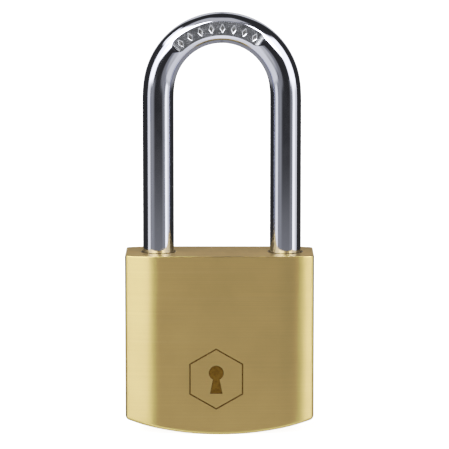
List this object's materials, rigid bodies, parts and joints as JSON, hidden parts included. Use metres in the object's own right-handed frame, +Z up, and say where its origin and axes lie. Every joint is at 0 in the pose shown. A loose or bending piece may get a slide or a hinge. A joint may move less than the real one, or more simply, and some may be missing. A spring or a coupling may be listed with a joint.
{
  "type": "padlock",
  "caption": "Brass padlock with a long chromed U shackle, curved underside, bottom keyway, pin-tumbler plug and two locking bolts.",
  "frame": {"origin": "middle of the footprint, level with the lowest point of the curved underside", "axes": "+Z up along the shackle, front face with the engraved mark towards -Y, heel leg at -X"},
  "size_m": [0.04, 0.0144, 0.0895],
  "materials": {
    "brass_body": "brushed",
    "chrome_shackle": "polished",
    "plug_brass": "machined",
    "pin_brass": "machined",
    "closing_plug": "brushed",
    "cam_steel": "zinc plated",
    "bolt_steel": "hardened",
    "pin_steel": "ground",
    "spring_wire": "drawn wire"
  },
  "bodies": {
    "lock_body": {"body": "brass_body", "bolt_bore_plug": "closing_plug", "plug_retaining_pin": "pin_brass", "shackle_retaining_pin": "pin_steel", "shackle_spring": "spring_wire", "chamber_plug_1": "closing_plug", "chamber_plug_2": "closing_plug", "chamber_plug_3": "closing_plug", "chamber_plug_4": "closing_plug", "chamber_plug_5": "closing_plug", "pin_spring_1": "spring_wire", "pin_spring_2": "spring_wire", "pin_spring_3": "spring_wire", "pin_spring_4": "spring_wire", "pin_spring_5": "spring_wire"},
    "shackle": {"shackle": "chrome_shackle"},
    "plug_assembly": {"plug": "plug_brass", "cam": "cam_steel"},
    "toe_bolt": {"toe_bolt": "bolt_steel", "bolt_spring_1": "spring_wire"},
    "heel_bolt": {"heel_bolt": "bolt_steel", "bolt_spring_2": "spring_wire"},
    "key_pin_1": {"key_pin_1": "pin_brass"},
    "driver_pin_1": {"driver_pin_1": "pin_brass"},
    "key_pin_2": {"key_pin_2": "pin_brass"},
    "driver_pin_2": {"driver_pin_2": "pin_brass"},
    "key_pin_3": {"key_pin_3": "pin_brass"},
    "driver_pin_3": {"driver_pin_3": "pin_brass"},
    "key_pin_4": {"key_pin_4": "pin_brass"},
    "driver_pin_4": {"driver_pin_4": "pin_brass"},
    "key_pin_5": {"key_pin_5": "pin_brass"},
    "driver_pin_5": {"driver_pin_5": "pin_brass"}
  },
  "joints": [
    {"name": "plug_turn", "type": "hinge", "parent": "lock_body", "child": "plug_assembly", "pos_m": [0.0005, 0, 0], "axis": [0, 0, 1], "range_deg": [-90, 0]},
    {"name": "toe_bolt_slide", "type": "slide", "parent": "lock_body", "child": "toe_bolt", "axis": [1, 0, 0], "range_m": [0, 0.00181], "deforming": ["bolt_spring_1"]},
    {"name": "heel_bolt_slide", "type": "slide", "parent": "lock_body", "child": "heel_bolt", "axis": [-1, 0, 0], "range_m": [0, 0.00181], "deforming": ["bolt_spring_2"]},
    {"name": "shackle_lift", "type": "slide", "parent": "lock_body", "child": "shackle", "axis": [0, 0, 1], "range_m": [0, 0.011], "deforming": ["shackle_spring"]},
    {"name": "key_pin_1_slide", "type": "slide", "parent": "plug_assembly", "child": "key_pin_1", "axis": [0, -1, 0], "range_m": [0, 0.00165]},
    {"name": "key_pin_2_slide", "type": "slide", "parent": "plug_assembly", "child": "key_pin_2", "axis": [0, -1, 0], "range_m": [0, 0.00245]},
    {"name": "key_pin_3_slide", "type": "slide", "parent": "plug_assembly", "child": "key_pin_3", "axis": [0, -1, 0], "range_m": [0, 0.00205]},
    {"name": "key_pin_4_slide", "type": "slide", "parent": "plug_assembly", "child": "key_pin_4", "axis": [0, -1, 0], "range_m": [0, 0.00275]},
    {"name": "key_pin_5_slide", "type": "slide", "parent": "plug_assembly", "child": "key_pin_5", "axis": [0, -1, 0], "range_m": [0, 0.00185]},
    {"name": "driver_pin_1_slide", "type": "slide", "parent": "lock_body", "child": "driver_pin_1", "axis": [1, 0, 0], "range_m": [0, 0.002], "stiffness_N_per_m": 20, "springref_m": -0.002, "deforming": ["pin_spring_1"]},
    {"name": "driver_pin_2_slide", "type": "slide", "parent": "lock_body", "child": "driver_pin_2", "axis": [1, 0, 0], "range_m": [0, 0.002], "stiffness_N_per_m": 20, "springref_m": -0.002, "deforming": ["pin_spring_2"]},
    {"name": "driver_pin_3_slide", "type": "slide", "parent": "lock_body", "child": "driver_pin_3", "axis": [1, 0, 0], "range_m": [0, 0.002], "stiffness_N_per_m": 20, "springref_m": -0.002, "deforming": ["pin_spring_3"]},
    {"name": "driver_pin_4_slide", "type": "slide", "parent": "lock_body", "child": "driver_pin_4", "axis": [1, 0, 0], "range_m": [0, 0.002], "stiffness_N_per_m": 20, "springref_m": -0.002, "deforming": ["pin_spring_4"]},
    {"name": "driver_pin_5_slide", "type": "slide", "parent": "lock_body", "child": "driver_pin_5", "axis": [1, 0, 0], "range_m": [0, 0.002], "stiffness_N_per_m": 20, "springref_m": -0.002, "deforming": ["pin_spring_5"]}
  ],
  "couplings": [
    {"joint": "toe_bolt_slide", "follows": "plug_turn", "m_per_rad": -0.0011459},
    {"joint": "heel_bolt_slide", "follows": "plug_turn", "m_per_rad": -0.0011459}
  ]
}
